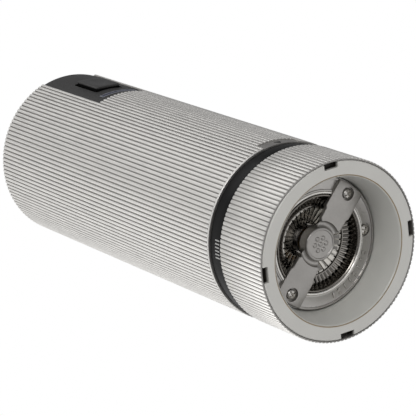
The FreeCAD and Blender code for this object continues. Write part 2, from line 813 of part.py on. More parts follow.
port_middle = size.board_front - size.board_thickness - size.port_height / 2
cap_turning = revolved([
    (0.0, size.cap_low),
    (size.cap_radius, size.cap_low),
    (size.cap_radius, size.mill_top - 0.8),
    (size.cap_radius - 0.8, size.mill_top),
    (0.0, size.mill_top),
])
port_opening = fused(
    box(port_middle - size.plug_slot_half, port_middle + size.plug_slot_half,
        size.plug_slot_reach, -(size.plug_slot_reach), size.cap_low - 1, size.mill_top + 1, FRONT),
    *[cylinder(size.plug_slot_half, size.cap_low - 1, size.mill_top + 1, port_middle, side, FRONT)
      for side in (-(size.plug_slot_reach), size.plug_slot_reach)])
keep("top_cap", cut(cap_turning, port_opening))

# ---------------------------------------------------------------------------------------------------------
# Drive housing

housing_floor_top = size.housing_low + size.housing_floor
housing_shell = fused(
    tube(size.housing_radius, size.housing_bore, size.housing_low, size.housing_top),
    tube(size.housing_bore + 0.5, size.hub_radius + 1.0, size.housing_low, housing_floor_top),
    *[box(size.cup_bore + 0.2, size.cup_radius - 0.2, 2.0, -2.0,
          size.cup_top - 3, size.housing_low + 1, angle) for angle in KEY_ANGLES])
housing_window = box(size.window_near, size.housing_radius + 1, size.window_half, -(size.window_half),
                     size.window_low, size.housing_top + 1, FRONT)
tie_angles = (45.0, 135.0, 225.0, 315.0)
tie_holes = [
    cylinder(1.13, size.housing_low - 1, housing_floor_top + 1, size.tie_circle, 0.0, angle)
    for angle in tie_angles
]
keep("drive_housing", cut(housing_shell, housing_window, *tie_holes))

# ---------------------------------------------------------------------------------------------------------
# Gearbox: two planetary stages in one toothed ring


def tie_clearance(low, top):
    return [cylinder(1.15, low - 1, top + 1, size.tie_circle, 0.0, angle) for angle in tie_angles]


keep("gearbox_base", cut(
    tube(size.gearbox_radius, size.hub_radius + size.running_gap, housing_floor_top + 0.02, size.gearbox_low),
    *tie_clearance(housing_floor_top, size.gearbox_low)))

ring_height = number(size.gearbox_top) - number(size.gearbox_low) - 0.04
ring_hole = Part.Face(gear_outline(RING_TEETH, external=False)).extrude(FreeCAD.Vector(0, 0, ring_height + 2))
ring_hole.translate(FreeCAD.Vector(0, 0, number(size.gearbox_low) - 1))
ring_teeth = shaped("RingTeeth", ring_hole)
keep("gear_housing", cut(
    cylinder(size.gearbox_radius, size.gearbox_low + 0.02, size.gearbox_top - 0.02),
    ring_teeth, *tie_clearance(size.gearbox_low, size.gearbox_top)))

motor_screw_places = [(size.motor_screw_circle, 0.0), (size.motor_screw_circle, 180.0)]
plate_screw_heads = [
    cylinder(1.9, size.gearbox_top - 1, size.gearbox_top + 1.1, circle, 0.0, turn)
    for circle, turn in motor_screw_places
]
plate_screw_shanks = [
    cylinder(1.05, size.gearbox_top - 1, size.motor_low + 1, circle, 0.0, turn)
    for circle, turn in motor_screw_places
]
keep("motor_plate", cut(
    tube(size.gearbox_radius, 3.6, size.gearbox_top, size.motor_low - 0.05),
    *plate_screw_heads, *plate_screw_shanks, *tie_clearance(size.gearbox_top, size.motor_low)))
keep("motor_screws", fused(*[
    fused(cylinder(1.8, size.gearbox_top + 0.1, size.gearbox_top + 1.08, circle, 0.0, turn),
          cylinder(0.95, size.gearbox_top + 1.0, size.motor_low + 3, circle, 0.0, turn))
    for circle, turn in motor_screw_places
]))
keep("gearbox_screws", fused(*[
    fused(cylinder(1.7, size.motor_low, size.motor_low + 1.4, size.tie_circle, 0.0, angle),
          cylinder(1.1, size.housing_low + 0.3, size.motor_low + 0.1, size.tie_circle, 0.0, angle))
    for angle in tie_angles
]))


def planet_carrier(disc_low, disc_top, pin_top, turn=0.0):
    """A carrier disc with its three planet pins."""
    return fused(
        cylinder(size.carrier_radius, disc_low, disc_top),
        *[cylinder(size.planet_pin, disc_low, pin_top, size.planet_circle, 0.0, angle + turn)
          for angle in PLANET_ANGLES])


stage_two_top = size.stage_two_low + size.gear_width
stage_one_top = size.stage_one_low + size.gear_width
socket = doc.addObject("Part::Prism", "HexSocket")
socket.Polygon = 6
bind(socket, Circumradius=size.hex_flats / math.sqrt(3.0) + size.running_gap * 1.2,
     Height=size.shaft_top - size.housing_low + 1.3)
place(socket, 0.0, 0.0, size.housing_low - 1)
keep("output_carrier", cut(fused(
    planet_carrier(size.gearbox_low + 0.3, size.stage_two_low - 0.3, stage_two_top + 0.3),
    cylinder(size.hub_radius, size.housing_low - 0.1, size.gearbox_low + 0.5)), socket))
keep("stage_carrier", cut(
    planet_carrier(stage_two_top + 0.9, size.stage_one_low - 0.3, stage_one_top + 0.3),
    cylinder(1.52, stage_two_top, size.stage_one_low)))

for stage, low in (("output", size.stage_two_low), ("input", size.stage_one_low)):
    for index, angle in enumerate(PLANET_ANGLES):
        x, y = turned_xy(size.planet_circle, 0.0, angle)
        keep(f"{stage}_planet_{index + 1}", gear(
            "Planet", PLANET_TEETH, size.planet_pin + size.running_gap, low, x, y, angle + PLANET_TURN))

keep("output_sun", fused(
    gear("OutputSun", SUN_TEETH, 1.0, size.stage_two_low + 0.1),
    cylinder(1.5, stage_two_top - 0.2, size.stage_one_low - 0.4)))
keep("input_sun", gear("InputSun", SUN_TEETH, size.motor_shaft_radius + 0.02, size.stage_one_low + 0.1))

# ---------------------------------------------------------------------------------------------------------
# Motor

keep("motor_shaft", cylinder(size.motor_shaft_radius, size.stage_one_low + 0.1, size.motor_top - 1))
motor_bore = cylinder(size.motor_shaft_radius + size.running_gap, size.motor_low - 1, size.motor_top - 0.5)
motor_threads = [
    cylinder(0.98, size.motor_low - 1, size.motor_low + 3.2, circle, 0.0, turn)
    for circle, turn in motor_screw_places
]
keep("motor_can", cut(
    cylinder(size.motor_radius, size.motor_low, size.motor_top), motor_bore, *motor_threads))
keep("motor_end_cap", cylinder(size.motor_radius - 2, size.motor_top + 0.02, size.motor_top + 1.6))

# ---------------------------------------------------------------------------------------------------------
# Cell, board and what is on it

cell = doc.addObject("Part::Cylinder", "Cell")
bind(cell, Radius=size.cell_radius, Height=size.cell_length)
place(cell, -(size.cell_length / 2), size.cell_back, size.cell_level,
      FreeCAD.Rotation(FreeCAD.Vector(0, 1, 0), 90))
keep("battery_cell", cell)
keep("battery_tabs", fused(*[
    box(size.cell_length / 2 + 0.03, size.cell_length / 2 + 0.33, side * size.cell_back + 3,
        side * size.cell_back - 3, size.cell_level - 3, size.cell_level + 3, turn)
    for side, turn in ((1.0, 0.0), (-1.0, 180.0))
]))
trough = doc.addObject("Part::Cylinder", "Trough")
bind(trough, Radius=size.cell_radius + 0.05, Height=size.cell_length + 2)
place(trough, -(size.cell_length / 2) - 1, size.cell_back, size.cell_level,
      FreeCAD.Rotation(FreeCAD.Vector(0, 1, 0), 90))
keep("battery_cradle", cut(
    box(-(size.cradle_half_length), size.cradle_half_length, size.cell_back + size.cradle_half_width,
        size.cell_back - size.cradle_half_width, size.motor_top + 3, size.cell_level - 4), trough))

board_back = size.board_front - size.board_thickness
keep("circuit_board", box(board_back, size.board_front, size.board_width / 2, -(size.board_width / 2),
                          size.board_low, size.board_top, FRONT))
keep("tact_switch", fused(
    box(size.board_front, size.board_front + 2.6, 3.0, -3.0,
        size.button_level - 3, size.button_level + 3, FRONT),
    rod(1.6, size.board_front + 2.5, size.board_front + 3.5, size.button_level, FRONT)))
keep("indicator_led", box(size.board_front, size.board_front + 1.1, 1.6, -1.6,
                          size.lens_low + 0.1, size.lens_top - 0.1, FRONT))
port_shell = box(board_back - size.port_height, board_back, size.port_width / 2, -(size.port_width / 2),
                 size.port_low, size.port_top, FRONT)
port_cavity = box(port_middle - 1.3, port_middle + 1.3, 4.15, -4.15,
                  size.port_low + 1, size.port_top + 1, FRONT)
port_tongue = box(port_middle - 0.35, port_middle + 0.35, 3.3, -3.3,
                  size.port_low + 0.5, size.port_top - 0.6, FRONT)
keep("charge_port", fused(cut(port_shell, port_cavity), port_tongue))

# ---------------------------------------------------------------------------------------------------------
# Check the document, then write each sub-part

doc.recompute()
for thing in doc.Objects:
    if "Invalid" in thing.State or "Error" in thing.State:
        raise RuntimeError(f"{thing.Label} did not recompute: {thing.State}")
for label, thing in sub_parts.items():
    if thing.Shape.isNull() or not thing.Shape.isValid() or thing.Shape.Volume <= 0:
        raise RuntimeError(f"{label} has no valid solid")
    thing.Shape.exportStep(os.path.join("parts", f"{label}.step"))
    print(f"{label}: {len(thing.Shape.Solids)} solid(s), {thing.Shape.Volume:.1f} mm3")
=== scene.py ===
"""Looks of the rechargeable pepper mill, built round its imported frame. Lengths are in millimetres."""
import json
import math

import bmesh
import bpy
from mathutils import Matrix, Vector


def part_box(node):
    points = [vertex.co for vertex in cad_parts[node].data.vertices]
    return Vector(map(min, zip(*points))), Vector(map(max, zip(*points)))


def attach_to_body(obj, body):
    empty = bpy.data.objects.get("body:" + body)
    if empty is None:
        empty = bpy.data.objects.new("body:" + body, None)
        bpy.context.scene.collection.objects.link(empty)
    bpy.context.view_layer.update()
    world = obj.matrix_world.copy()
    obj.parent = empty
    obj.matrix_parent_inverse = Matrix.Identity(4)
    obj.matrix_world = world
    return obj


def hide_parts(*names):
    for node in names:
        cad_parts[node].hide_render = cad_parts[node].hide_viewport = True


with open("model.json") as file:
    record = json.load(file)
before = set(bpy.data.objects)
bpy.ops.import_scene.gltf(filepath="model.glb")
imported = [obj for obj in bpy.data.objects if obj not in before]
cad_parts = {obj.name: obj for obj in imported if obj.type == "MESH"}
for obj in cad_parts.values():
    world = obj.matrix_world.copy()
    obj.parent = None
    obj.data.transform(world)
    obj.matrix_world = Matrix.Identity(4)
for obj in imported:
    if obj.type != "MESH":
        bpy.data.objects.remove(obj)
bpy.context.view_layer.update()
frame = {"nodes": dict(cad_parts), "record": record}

MM = 0.001

# Directions round the mill's axis, in degrees from +X. The button faces the front.
FRONT = -90.0
BAR_ANGLE = -51.2
PLATE_SCREW_ANGLE = -2.8
NOTCH_ANGLE = -3.9
MARK_ANGLE = 176.1
RIB_COUNT = 128
RIB_PITCH = 360.0 / RIB_COUNT
PANEL_SPREAD = 7.5 * RIB_PITCH
WINDOW_SPREAD = 13.85

# Sizes, in millimetres.
RIB_DEPTH = 0.38
SLEEVE_GAP = 0.4
PLATE_SCREW_REACH = 16.05
BAR_SCREW_REACH = 16.35
BUTTON_WIDTH = 8.6
BUTTON_CORNER = 0.9
BUTTON_FLANGE = 1.0
SEAM_START = 21.0
SEAM_END = 22.4
NOTCH_START = 23.7


def low(node):
    """A CAD node's lowest height, in millimetres."""
    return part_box(node)[0].z / MM


def top(node):
    """A CAD node's greatest height, in millimetres."""
    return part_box(node)[1].z / MM


def reach(node):
    """How far a round CAD node reaches from the mill's axis, in millimetres."""
    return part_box(node)[1].y / MM


CREST = reach("grip_ring")
FLOOR = CREST - RIB_DEPTH
WALL = reach("drive_housing") + SLEEVE_GAP
PANEL = -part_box("indicator_lens")[0].y / MM

# ---------------------------------------------------------------------------------------------------------
# Mesh tools


def polar(radius, degrees, height):
    """A point by its distance from the axis, its direction and its height."""
    angle = math.radians(degrees)
    return Vector((radius * math.cos(angle), radius * math.sin(angle), height))


def finish_mesh(mesh, name, material, crease=32.0):
    """Turns a bmesh drawn in millimetres into an object of the scene."""
    bmesh.ops.remove_doubles(mesh, verts=mesh.verts, dist=1e-5)
    bmesh.ops.recalc_face_normals(mesh, faces=mesh.faces)
    bmesh.ops.scale(mesh, verts=mesh.verts, vec=(MM, MM, MM))
    data = bpy.data.meshes.new(name)
    mesh.to_mesh(data)
    mesh.free()
    data.polygons.foreach_set("use_smooth", [True] * len(data.polygons))
    data.set_sharp_from_angle(angle=math.radians(crease))
    piece = bpy.data.objects.new(name, data)
    bpy.context.scene.collection.objects.link(piece)
    data.materials.append(material)
    return piece


def add_outline(mesh, points, softened, segments=3):
    """A flat face through points, its corners rounded. Returns the face."""
    corners = [mesh.verts.new(point) for point in points]
    face = mesh.faces.new(corners)
    if softened:
        bmesh.ops.bevel(mesh, geom=corners, offset=softened, offset_type="OFFSET", segments=segments,
                        profile=0.5, affect="VERTICES", material=-1)
        face = next(item for item in mesh.faces if item.is_valid)
    return face


def add_turned(mesh, outline, softened=0.15, steps=160):
    """A ring or disc turned about the axis from a closed (radius, height) outline."""
    part = bmesh.new()
    face = add_outline(part, [(radius, 0.0, height) for radius, height in outline], softened)
    bmesh.ops.delete(part, geom=[face], context="FACES_ONLY")
    bmesh.ops.spin(part, geom=part.verts[:] + part.edges[:], axis=(0, 0, 1), cent=(0, 0, 0),
                   angle=math.tau, steps=steps, use_merge=True)
    bmesh.ops.remove_doubles(part, verts=part.verts, dist=1e-4)
    join(mesh, part)


def join(mesh, part):
    """Adds a finished part to a mesh."""
    bmesh.ops.recalc_face_normals(part, faces=part.faces)
    holder = bpy.data.meshes.new("part")
    part.to_mesh(holder)
    part.free()
    mesh.from_mesh(holder)
    bpy.data.meshes.remove(holder)


def add_sector(mesh, inner, outer, bottom, height_top, middle, spread, steps=48, softened=0.0):
    """A piece of a tube, spreading to both sides of a direction by the same angle."""
    part = bmesh.new()
    outline = ((inner, bottom), (outer, bottom), (outer, height_top), (inner, height_top))
    face = add_outline(part, [(radius, 0.0, height) for radius, height in outline], softened)
    bmesh.ops.rotate(part, verts=part.verts, cent=(0, 0, 0),
                     matrix=Matrix.Rotation(math.radians(middle - spread), 3, "Z"))
    bmesh.ops.spin(part, geom=[face, *face.verts, *face.edges], axis=(0, 0, 1), cent=(0, 0, 0),
                   angle=math.radians(2 * spread), steps=steps, use_merge=False)
    join(mesh, part)


def add_plate(mesh, outline, bottom, height, softened=0.0, edge=0.0, place=None):
    """An upright plate of a flat (x, y) outline, with its corners and its rims softened."""
    part = bmesh.new()
    face = add_outline(part, [(x, y, bottom) for x, y in outline], softened, 5)
    raised = bmesh.ops.extrude_face_region(part, geom=[face])
    bmesh.ops.translate(part, vec=(0, 0, height),
                        verts=[item for item in raised["geom"] if isinstance(item, bmesh.types.BMVert)])
    bmesh.ops.recalc_face_normals(part, faces=part.faces)
    if edge:
        rims = [item for item in part.edges if item.is_manifold and item.calc_face_angle(0.0) > 1.2]
        bmesh.ops.bevel(part, geom=rims, offset=edge, offset_type="OFFSET", segments=3, profile=0.5,
                        affect="EDGES", material=-1, clamp_overlap=True)
    if place:
        bmesh.ops.transform(part, matrix=place, verts=part.verts)
    join(mesh, part)


def facing(degrees, distance, height):
    """Stands a plate up, facing outwards from the axis: its x goes round, its y goes up, its z goes out."""
    return (Matrix.Translation(polar(distance, degrees, height))
            @ Matrix.Rotation(math.radians(degrees + 90.0), 4, "Z")
            @ Matrix.Rotation(math.radians(90.0), 4, "X"))


def turned_to(degrees, distance=0.0):
    """Carries a plate out along +X, then turns it round the axis."""
    return Matrix.Rotation(math.radians(degrees), 4, "Z") @ Matrix.Translation((distance, 0, 0))


def rectangle(width, depth):
    """A rectangle's outline, about the origin."""
    x, y = width / 2, depth / 2
    return ((-x, -y), (x, -y), (x, y), (-x, y))


def arc(radius, start, end, steps, x=0.0, y=0.0):
    """Points along an arc, both ends included."""
    angles = [math.radians(start + (end - start) * step / steps) for step in range(steps + 1)]
    return [(x + radius * math.cos(angle), y + radius * math.sin(angle)) for angle in angles]


def stadium(length, width):
    """A slot's outline, with round ends."""
    half = (length - width) / 2
    return arc(width / 2, -90, 90, 12, half) + arc(width / 2, 90, 270, 12, -half)


def add_round(mesh, radius, bottom, height_top, degrees, distance):
    """An upright cylinder away from the axis."""
    add_plate(mesh, arc(radius, 0, 348.75, 31), bottom, height_top - bottom, 0.0, 0.0,
              turned_to(degrees, distance))


def cutter_from(mesh):
    """Keeps a bmesh as a hidden tool for carving."""
    bmesh.ops.recalc_face_normals(mesh, faces=mesh.faces)
    bmesh.ops.scale(mesh, verts=mesh.verts, vec=(MM, MM, MM))
    data = bpy.data.meshes.new("cutter")
    mesh.to_mesh(data)
    mesh.free()
    tool = bpy.data.objects.new("cutter", data)
    bpy.context.scene.collection.objects.link(tool)
    return tool


def carve(piece, mesh, operation="DIFFERENCE", crease=32.0):
    """Takes a bmesh drawn in millimetres out of a piece, or adds it."""
    tool = cutter_from(mesh)
    modifier = piece.modifiers.new("carve", "BOOLEAN")
    modifier.operation = operation
    modifier.solver = "EXACT"
    modifier.object = tool
    graph = bpy.context.evaluated_depsgraph_get()
    carved = bpy.data.meshes.new_from_object(piece.evaluated_get(graph))
    piece.modifiers.clear()
    old = piece.data
    piece.data = carved
    carved.name = piece.name
    bpy.data.meshes.remove(old)
    bpy.data.objects.remove(tool)
    carved.polygons.foreach_set("use_smooth", [True] * len(carved.polygons))
    carved.set_sharp_from_angle(angle=math.radians(crease))


def fluted_shell(mesh, count, middle, section, stations):
    """A closed shell with the same relief repeated round it.

    The section gives (place in the pitch, relief) once. Each station gives the radius, its change at full
    relief, the height, and its change at full relief.
    """
    part = bmesh.new()
    relief = part.verts.layers.float.new("relief")
    pitch = 360.0 / count
    strip = []
    for fraction, depth in section:
        vert = part.verts.new(polar(1.0, middle + pitch * (fraction - 0.5), 0.0))
        vert[relief] = depth
        strip.append(vert)
    edges = [part.edges.new(pair) for pair in zip(strip, strip[1:])]
    bmesh.ops.spin(part, geom=strip + edges, axis=(0, 0, 1), cent=(0, 0, 0), use_duplicate=True,
                   angle=math.radians(pitch * (count - 1)), steps=count - 1)
    bmesh.ops.remove_doubles(part, verts=part.verts, dist=1e-5)

    def settle(verts, station):
        """Puts a loop at a station."""
        radius, swell, height, rise = station
        for vert in verts:
            direction = Vector((vert.co.x, vert.co.y, 0.0)).normalized()
            vert.co = direction * (radius + swell * vert[relief])
            vert.co.z = height + rise * vert[relief]

    first_loop = part.edges[:]
    settle(part.verts, stations[0])
    loop = first_loop
    for station in stations[1:]:
        grown = bmesh.ops.extrude_edge_only(part, edges=loop)["geom"]
        loop = [item for item in grown if isinstance(item, bmesh.types.BMEdge)
                and all(vert in grown for vert in item.verts)]
        settle([item for item in grown if isinstance(item, bmesh.types.BMVert)], station)
    bmesh.ops.bridge_loops(part, edges=first_loop + loop)
    join(mesh, part)


# ---------------------------------------------------------------------------------------------------------
# Materials


def new_material(name):
    """A material with its nodes, its links and its main shader."""
    material = bpy.data.materials.new(name)
    material.use_nodes = True
    nodes = material.node_tree.nodes
    shader = nodes["Principled BSDF"]
    return material, nodes, material.node_tree.links, shader


def noise(nodes, links, scale, detail=3.0, roughness=0.55, stretch=(1.0, 1.0, 1.0)):
    """Noise over the piece, with its scale in cells per metre."""
    place = nodes.new("ShaderNodeTexCoord")
    mapping = nodes.new("ShaderNodeMapping")
    mapping.inputs["Scale"].default_value = stretch
    texture = nodes.new("ShaderNodeTexNoise")
    texture.inputs["Scale"].default_value = scale
    texture.inputs["Detail"].default_value = detail
    texture.inputs["Roughness"].default_value = roughness
    links.new(place.outputs["Object"], mapping.inputs["Vector"])
    links.new(mapping.outputs["Vector"], texture.inputs["Vector"])
    return texture.outputs["Fac"]


def ramp(nodes, links, source, stops):
    """A colour ramp with (place, colour) stops."""
    ramp_node = nodes.new("ShaderNodeValToRGB")
    elements = ramp_node.color_ramp.elements
    elements[0].position, elements[0].color = stops[0][0], (*stops[0][1], 1.0)
    elements[1].position, elements[1].color = stops[-1][0], (*stops[-1][1], 1.0)
    for place, colour in stops[1:-1]:
        elements.new(place).color = (*colour, 1.0)
    links.new(source, ramp_node.inputs["Fac"])
    return ramp_node.outputs["Color"]


def spread(nodes, links, source, lowest, highest, start=0.3, end=0.7):
    """Maps a value to a range."""
    mapped = nodes.new("ShaderNodeMapRange")
    mapped.inputs["From Min"].default_value = start
    mapped.inputs["From Max"].default_value = end
    mapped.inputs["To Min"].default_value = lowest
    mapped.inputs["To Max"].default_value = highest
    links.new(source, mapped.inputs["Value"])
    return mapped.outputs["Result"]


def from_axis(nodes, links):
    """A surface point's distance from the mill's axis, and its height, both in metres."""
    place = nodes.new("ShaderNodeTexCoord")
    parts = nodes.new("ShaderNodeSeparateXYZ")
    links.new(place.outputs["Object"], parts.inputs["Vector"])
    flat = nodes.new("ShaderNodeCombineXYZ")
    links.new(parts.outputs["X"], flat.inputs["X"])
    links.new(parts.outputs["Y"], flat.inputs["Y"])
    length = nodes.new("ShaderNodeVectorMath")
    length.operation = "LENGTH"
    links.new(flat.outputs["Vector"], length.inputs[0])
    return length.outputs["Value"], parts.outputs["Z"]


def mixed(nodes, links, factor, first, second, blend="MIX"):
    """Blends two colours by a factor that is a number or another node's value."""
    mix = nodes.new("ShaderNodeMix")
    mix.data_type = "RGBA"
    mix.blend_type = blend
    if isinstance(factor, float):
        mix.inputs["Factor"].default_value = factor
    else:
        links.new(factor, mix.inputs["Factor"])
    links.new(first, mix.inputs["A"])
    links.new(second, mix.inputs["B"])
    return mix.outputs["Result"]


def bump(nodes, links, shader, source, strength, distance):
    """Fine relief from a value; its greatest height is in millimetres."""
    bump_node = nodes.new("ShaderNodeBump")
    bump_node.inputs["Strength"].default_value = strength
    bump_node.inputs["Distance"].default_value = distance * MM
    links.new(source, bump_node.inputs["Height"])
    links.new(bump_node.outputs["Normal"], shader.inputs["Normal"])


def shaded(colour, factor):
    """A colour made lighter or darker."""
    return tuple(channel * factor for channel in colour)


def finish_material(name, colour, metallic, roughness, grain, depth, variety=0.08, rough_variety=0.06,
                    stretch=(1.0, 1.0, 1.0)):
    """A surface whose colour, gloss and grain all vary finely."""
    material, nodes, links, shader = new_material(name)
    fine = noise(nodes, links, grain, 4.0, 0.6, stretch)
    broad = noise(nodes, links, grain * 0.06, 2.0, 0.5, stretch)
    tone = ramp(nodes, links, broad, ((0.25, shaded(colour, 1 - variety)),
                                      (0.75, shaded(colour, 1 + variety))))
    links.new(tone, shader.inputs["Base Color"])
    links.new(spread(nodes, links, fine, roughness - rough_variety, roughness + rough_variety),
              shader.inputs["Roughness"])
    shader.inputs["Metallic"].default_value = metallic
    bump(nodes, links, shader, fine, 0.5, depth)
    return material


def ribbed_finish():
    """Satin anodised metal, with painted shade down in the grooves: its colour runs darker from crest to
    groove floor.
    """
    material, nodes, links, shader = new_material("satin_ribbed_metal")
    radius = from_axis(nodes, links)[0]
    # Painted shade: the ramp over the rib's radius colours the groove floor darker than the crest.
    height = spread(nodes, links, radius, 0.0, 1.0, (FLOOR + 0.02) * MM, (CREST - 0.06) * MM)
    grain = noise(nodes, links, 900.0, 4.0, 0.6, (1.0, 1.0, 0.12))
    tone = ramp(nodes, links, height, ((0.0, (0.33, 0.32, 0.305)), (0.5, (0.5, 0.485, 0.465)),
                                       (1.0, (0.75, 0.735, 0.705))))
    faint = ramp(nodes, links, grain, ((0.3, (0.9, 0.9, 0.9)), (0.7, (1.0, 1.0, 1.0))))
    links.new(mixed(nodes, links, 1.0, tone, faint, "MULTIPLY"), shader.inputs["Base Color"])
    shader.inputs["Metallic"].default_value = 0.7
    links.new(spread(nodes, links, grain, 0.38, 0.5), shader.inputs["Roughness"])
    bump(nodes, links, shader, grain, 0.08, 0.02)
    return material


def insert_finish():
    """Pale grey moulded plastic, with the fine tan line where its two rings meet and painted shade on the
    notch floors.
    """
    material, nodes, links, shader = new_material("pale_grey_insert")
    radius, height = from_axis(nodes, links)
    mouth_grey = (0.56, 0.555, 0.52)
    flange_grey = (0.68, 0.67, 0.63)
    tan = (0.36, 0.27, 0.16)
    across = spread(nodes, links, radius, 0.0, 1.0, SEAM_START * MM, SEAM_END * MM)
    seam = ramp(nodes, links, across, ((0.36, mouth_grey), (0.44, tan), (0.56, tan), (0.64, flange_grey)))
    mottle = noise(nodes, links, 120.0, 2.0)
    faint = ramp(nodes, links, mottle, ((0.3, (0.96, 0.96, 0.96)), (0.7, (1.0, 1.0, 1.0))))
    # Painted shade in the notches: past NOTCH_START and up from the end face the colour turns near black.
    notch_shade_mask = nodes.new("ShaderNodeMath")
    notch_shade_mask.operation = "MULTIPLY"
    outward = spread(nodes, links, radius, 0.0, 1.0, NOTCH_START * MM, (NOTCH_START + 0.2) * MM)
    inward = spread(nodes, links, height, 0.0, 1.0, 0.3 * MM, 1.6 * MM)
    links.new(outward, notch_shade_mask.inputs[0])
    links.new(inward, notch_shade_mask.inputs[1])
    painted_notch_shade = ramp(nodes, links, mottle, ((0.3, (0.03, 0.026, 0.022)), (0.7, (0.05, 0.043, 0.036))))
    light = mixed(nodes, links, 1.0, seam, faint, "MULTIPLY")
    links.new(mixed(nodes, links, notch_shade_mask.outputs["Value"], light, painted_notch_shade), shader.inputs["Base Color"])
    grain = noise(nodes, links, 2600.0, 3.0)
    links.new(spread(nodes, links, grain, 0.3, 0.4), shader.inputs["Roughness"])
    bump(nodes, links, shader, grain, 0.25, 0.012)
    return material


def panel_finish():
    """Black satin plastic, with painted shade down in the button's recess: near-black colour and no specular
    sheen there.
    """
    material, nodes, links, shader = new_material("black_panel_plastic")
    radius = from_axis(nodes, links)[0]
    # Painted shade: below the panel's face the colour goes near black and the specular goes to nothing.
    level = spread(nodes, links, radius, 0.0, 1.0, (PANEL - 0.35) * MM, (PANEL - 0.1) * MM)
    mottle = noise(nodes, links, 150.0, 3.0)
    face = ramp(nodes, links, mottle, ((0.3, (0.017, 0.0165, 0.016)), (0.7, (0.021, 0.020, 0.019))))
    painted_recess_shade = ramp(nodes, links, mottle, ((0.3, (0.002, 0.002, 0.002)), (0.7, (0.003, 0.003, 0.003))))
    links.new(mixed(nodes, links, level, painted_recess_shade, face), shader.inputs["Base Color"])
    links.new(spread(nodes, links, level, 0.0, 0.5, 0.0, 1.0), shader.inputs["Specular IOR Level"])
    grain = noise(nodes, links, 2400.0, 4.0)
    links.new(spread(nodes, links, grain, 0.44, 0.56), shader.inputs["Roughness"])
    bump(nodes, links, shader, grain, 0.5, 0.03)
    return material


def clear_finish():
    """Clear moulded plastic with a faint haze."""
    material, nodes, links, shader = new_material("clear_hopper")
    haze = noise(nodes, links, 60.0, 3.0)
    links.new(ramp(nodes, links, haze, ((0.3, (0.90, 0.93, 0.94)), (0.7, (0.97, 0.98, 0.98)))),
              shader.inputs["Base Color"])
    links.new(spread(nodes, links, haze, 0.03, 0.09), shader.inputs["Roughness"])
    shader.inputs["Transmission Weight"].default_value = 0.95
    shader.inputs["IOR"].default_value = 1.49
    return material


ribbed_metal = ribbed_finish()
pale_insert = insert_finish()
panel_black = panel_finish()
black_satin = finish_material("black_satin_plastic", (0.019, 0.018, 0.017), 0.0, 0.5, 2400.0, 0.04, 0.25)
black_gloss = finish_material("black_scale_plastic", (0.006, 0.006, 0.006), 0.0, 0.34, 2400.0, 0.01, 0.15)
black_gloss.node_tree.nodes["Principled BSDF"].inputs["Specular IOR Level"].default_value = 0.08
# Painted shade: the button's sides and flange take a near-black, all but unreflecting copy of the button's
# black plastic.
skirt_painted_shade = finish_material("button_skirt_painted_shade", (0.003, 0.003, 0.003), 0.0, 0.6, 2400.0, 0.01, 0.15)
skirt_painted_shade.node_tree.nodes["Principled BSDF"].inputs["Specular IOR Level"].default_value = 0.03
button_black = finish_material("soft_black_button", (0.026, 0.025, 0.024), 0.0, 0.38, 3000.0, 0.02, 0.12)
tumbled_steel = finish_material("tumbled_steel", (0.42, 0.405, 0.385), 1.0, 0.42, 1500.0, 0.05, 0.1, 0.08)
pressed_steel = finish_material("pressed_steel", (0.48, 0.465, 0.445), 1.0, 0.34, 1100.0, 0.04, 0.1, 0.08)
screw_steel = finish_material("bright_screw", (0.58, 0.56, 0.53), 1.0, 0.2, 1600.0, 0.02, 0.1, 0.08)
burr_steel = finish_material("machined_burr", (0.27, 0.255, 0.235), 1.0, 0.17, 900.0, 0.008, 0.12, 0.05)
# The rolled bead is real; its steel, lighter than the plate's, is a painted highlight along it.
bead_highlight_steel = finish_material("rolled_bead_painted_highlight", (0.78, 0.76, 0.72), 1.0, 0.3, 900.0, 0.01, 0.06, 0.05)
ring_steel = finish_material("dark_ring_burr", (0.24, 0.225, 0.205), 1.0, 0.24, 900.0, 0.01, 0.15, 0.05)
blade_steel = finish_material("ground_blade", (0.50, 0.48, 0.445), 1.0, 0.14, 700.0, 0.004, 0.08, 0.04)
shaft_steel = finish_material("ground_shaft", (0.6, 0.59, 0.58), 1.0, 0.22, 900.0, 0.02, 0.06, 0.05,
                              (1.0, 1.0, 6.0))
spring_wire = finish_material("spring_wire", (0.42, 0.42, 0.43), 1.0, 0.28, 1500.0, 0.02)
bush_bronze = finish_material("sintered_bronze", (0.5, 0.3, 0.12), 1.0, 0.4, 2500.0, 0.04, 0.15)
acetal = finish_material("white_acetal", (0.72, 0.71, 0.67), 0.0, 0.4, 1500.0, 0.015, 0.04)
gear_grey = finish_material("grey_gear_case", (0.06, 0.063, 0.068), 0.0, 0.45, 1800.0, 0.03, 0.12)
sun_brass = finish_material("cut_brass", (0.62, 0.43, 0.16), 1.0, 0.25, 1200.0, 0.02)
can_steel = finish_material("plated_can", (0.55, 0.55, 0.56), 1.0, 0.3, 500.0, 0.02, 0.06, 0.06,
                            (1.0, 1.0, 0.1))
seal_rubber = finish_material("seal_rubber", (0.03, 0.03, 0.03), 0.0, 0.6, 1500.0, 0.03)
lens_navy = finish_material("navy_window", (0.012, 0.016, 0.045), 0.0, 0.3, 300.0, 0.004, 0.2, 0.03)
frame_grey = finish_material("window_frame", (0.26, 0.27, 0.31), 0.0, 0.35, 1500.0, 0.01)
mark_white = finish_material("printed_marks", (0.36, 0.36, 0.35), 0.0, 0.5, 2500.0, 0.01, 0.06)
cell_wrap = finish_material("cell_wrap", (0.03, 0.1, 0.3), 0.0, 0.3, 400.0, 0.02, 0.1)
nickel = finish_material("nickel_strip", (0.62, 0.6, 0.55), 1.0, 0.3, 1500.0, 0.02)
board_green = finish_material("solder_mask", (0.012, 0.10, 0.045), 0.0, 0.3, 900.0, 0.03, 0.2)
switch_black = finish_material("moulded_switch", (0.02, 0.02, 0.022), 0.0, 0.45, 2500.0, 0.02)
lamp_white = finish_material("lamp_body", (0.7, 0.7, 0.66), 0.0, 0.3, 1500.0, 0.01, 0.04)
hopper_clear = clear_finish()

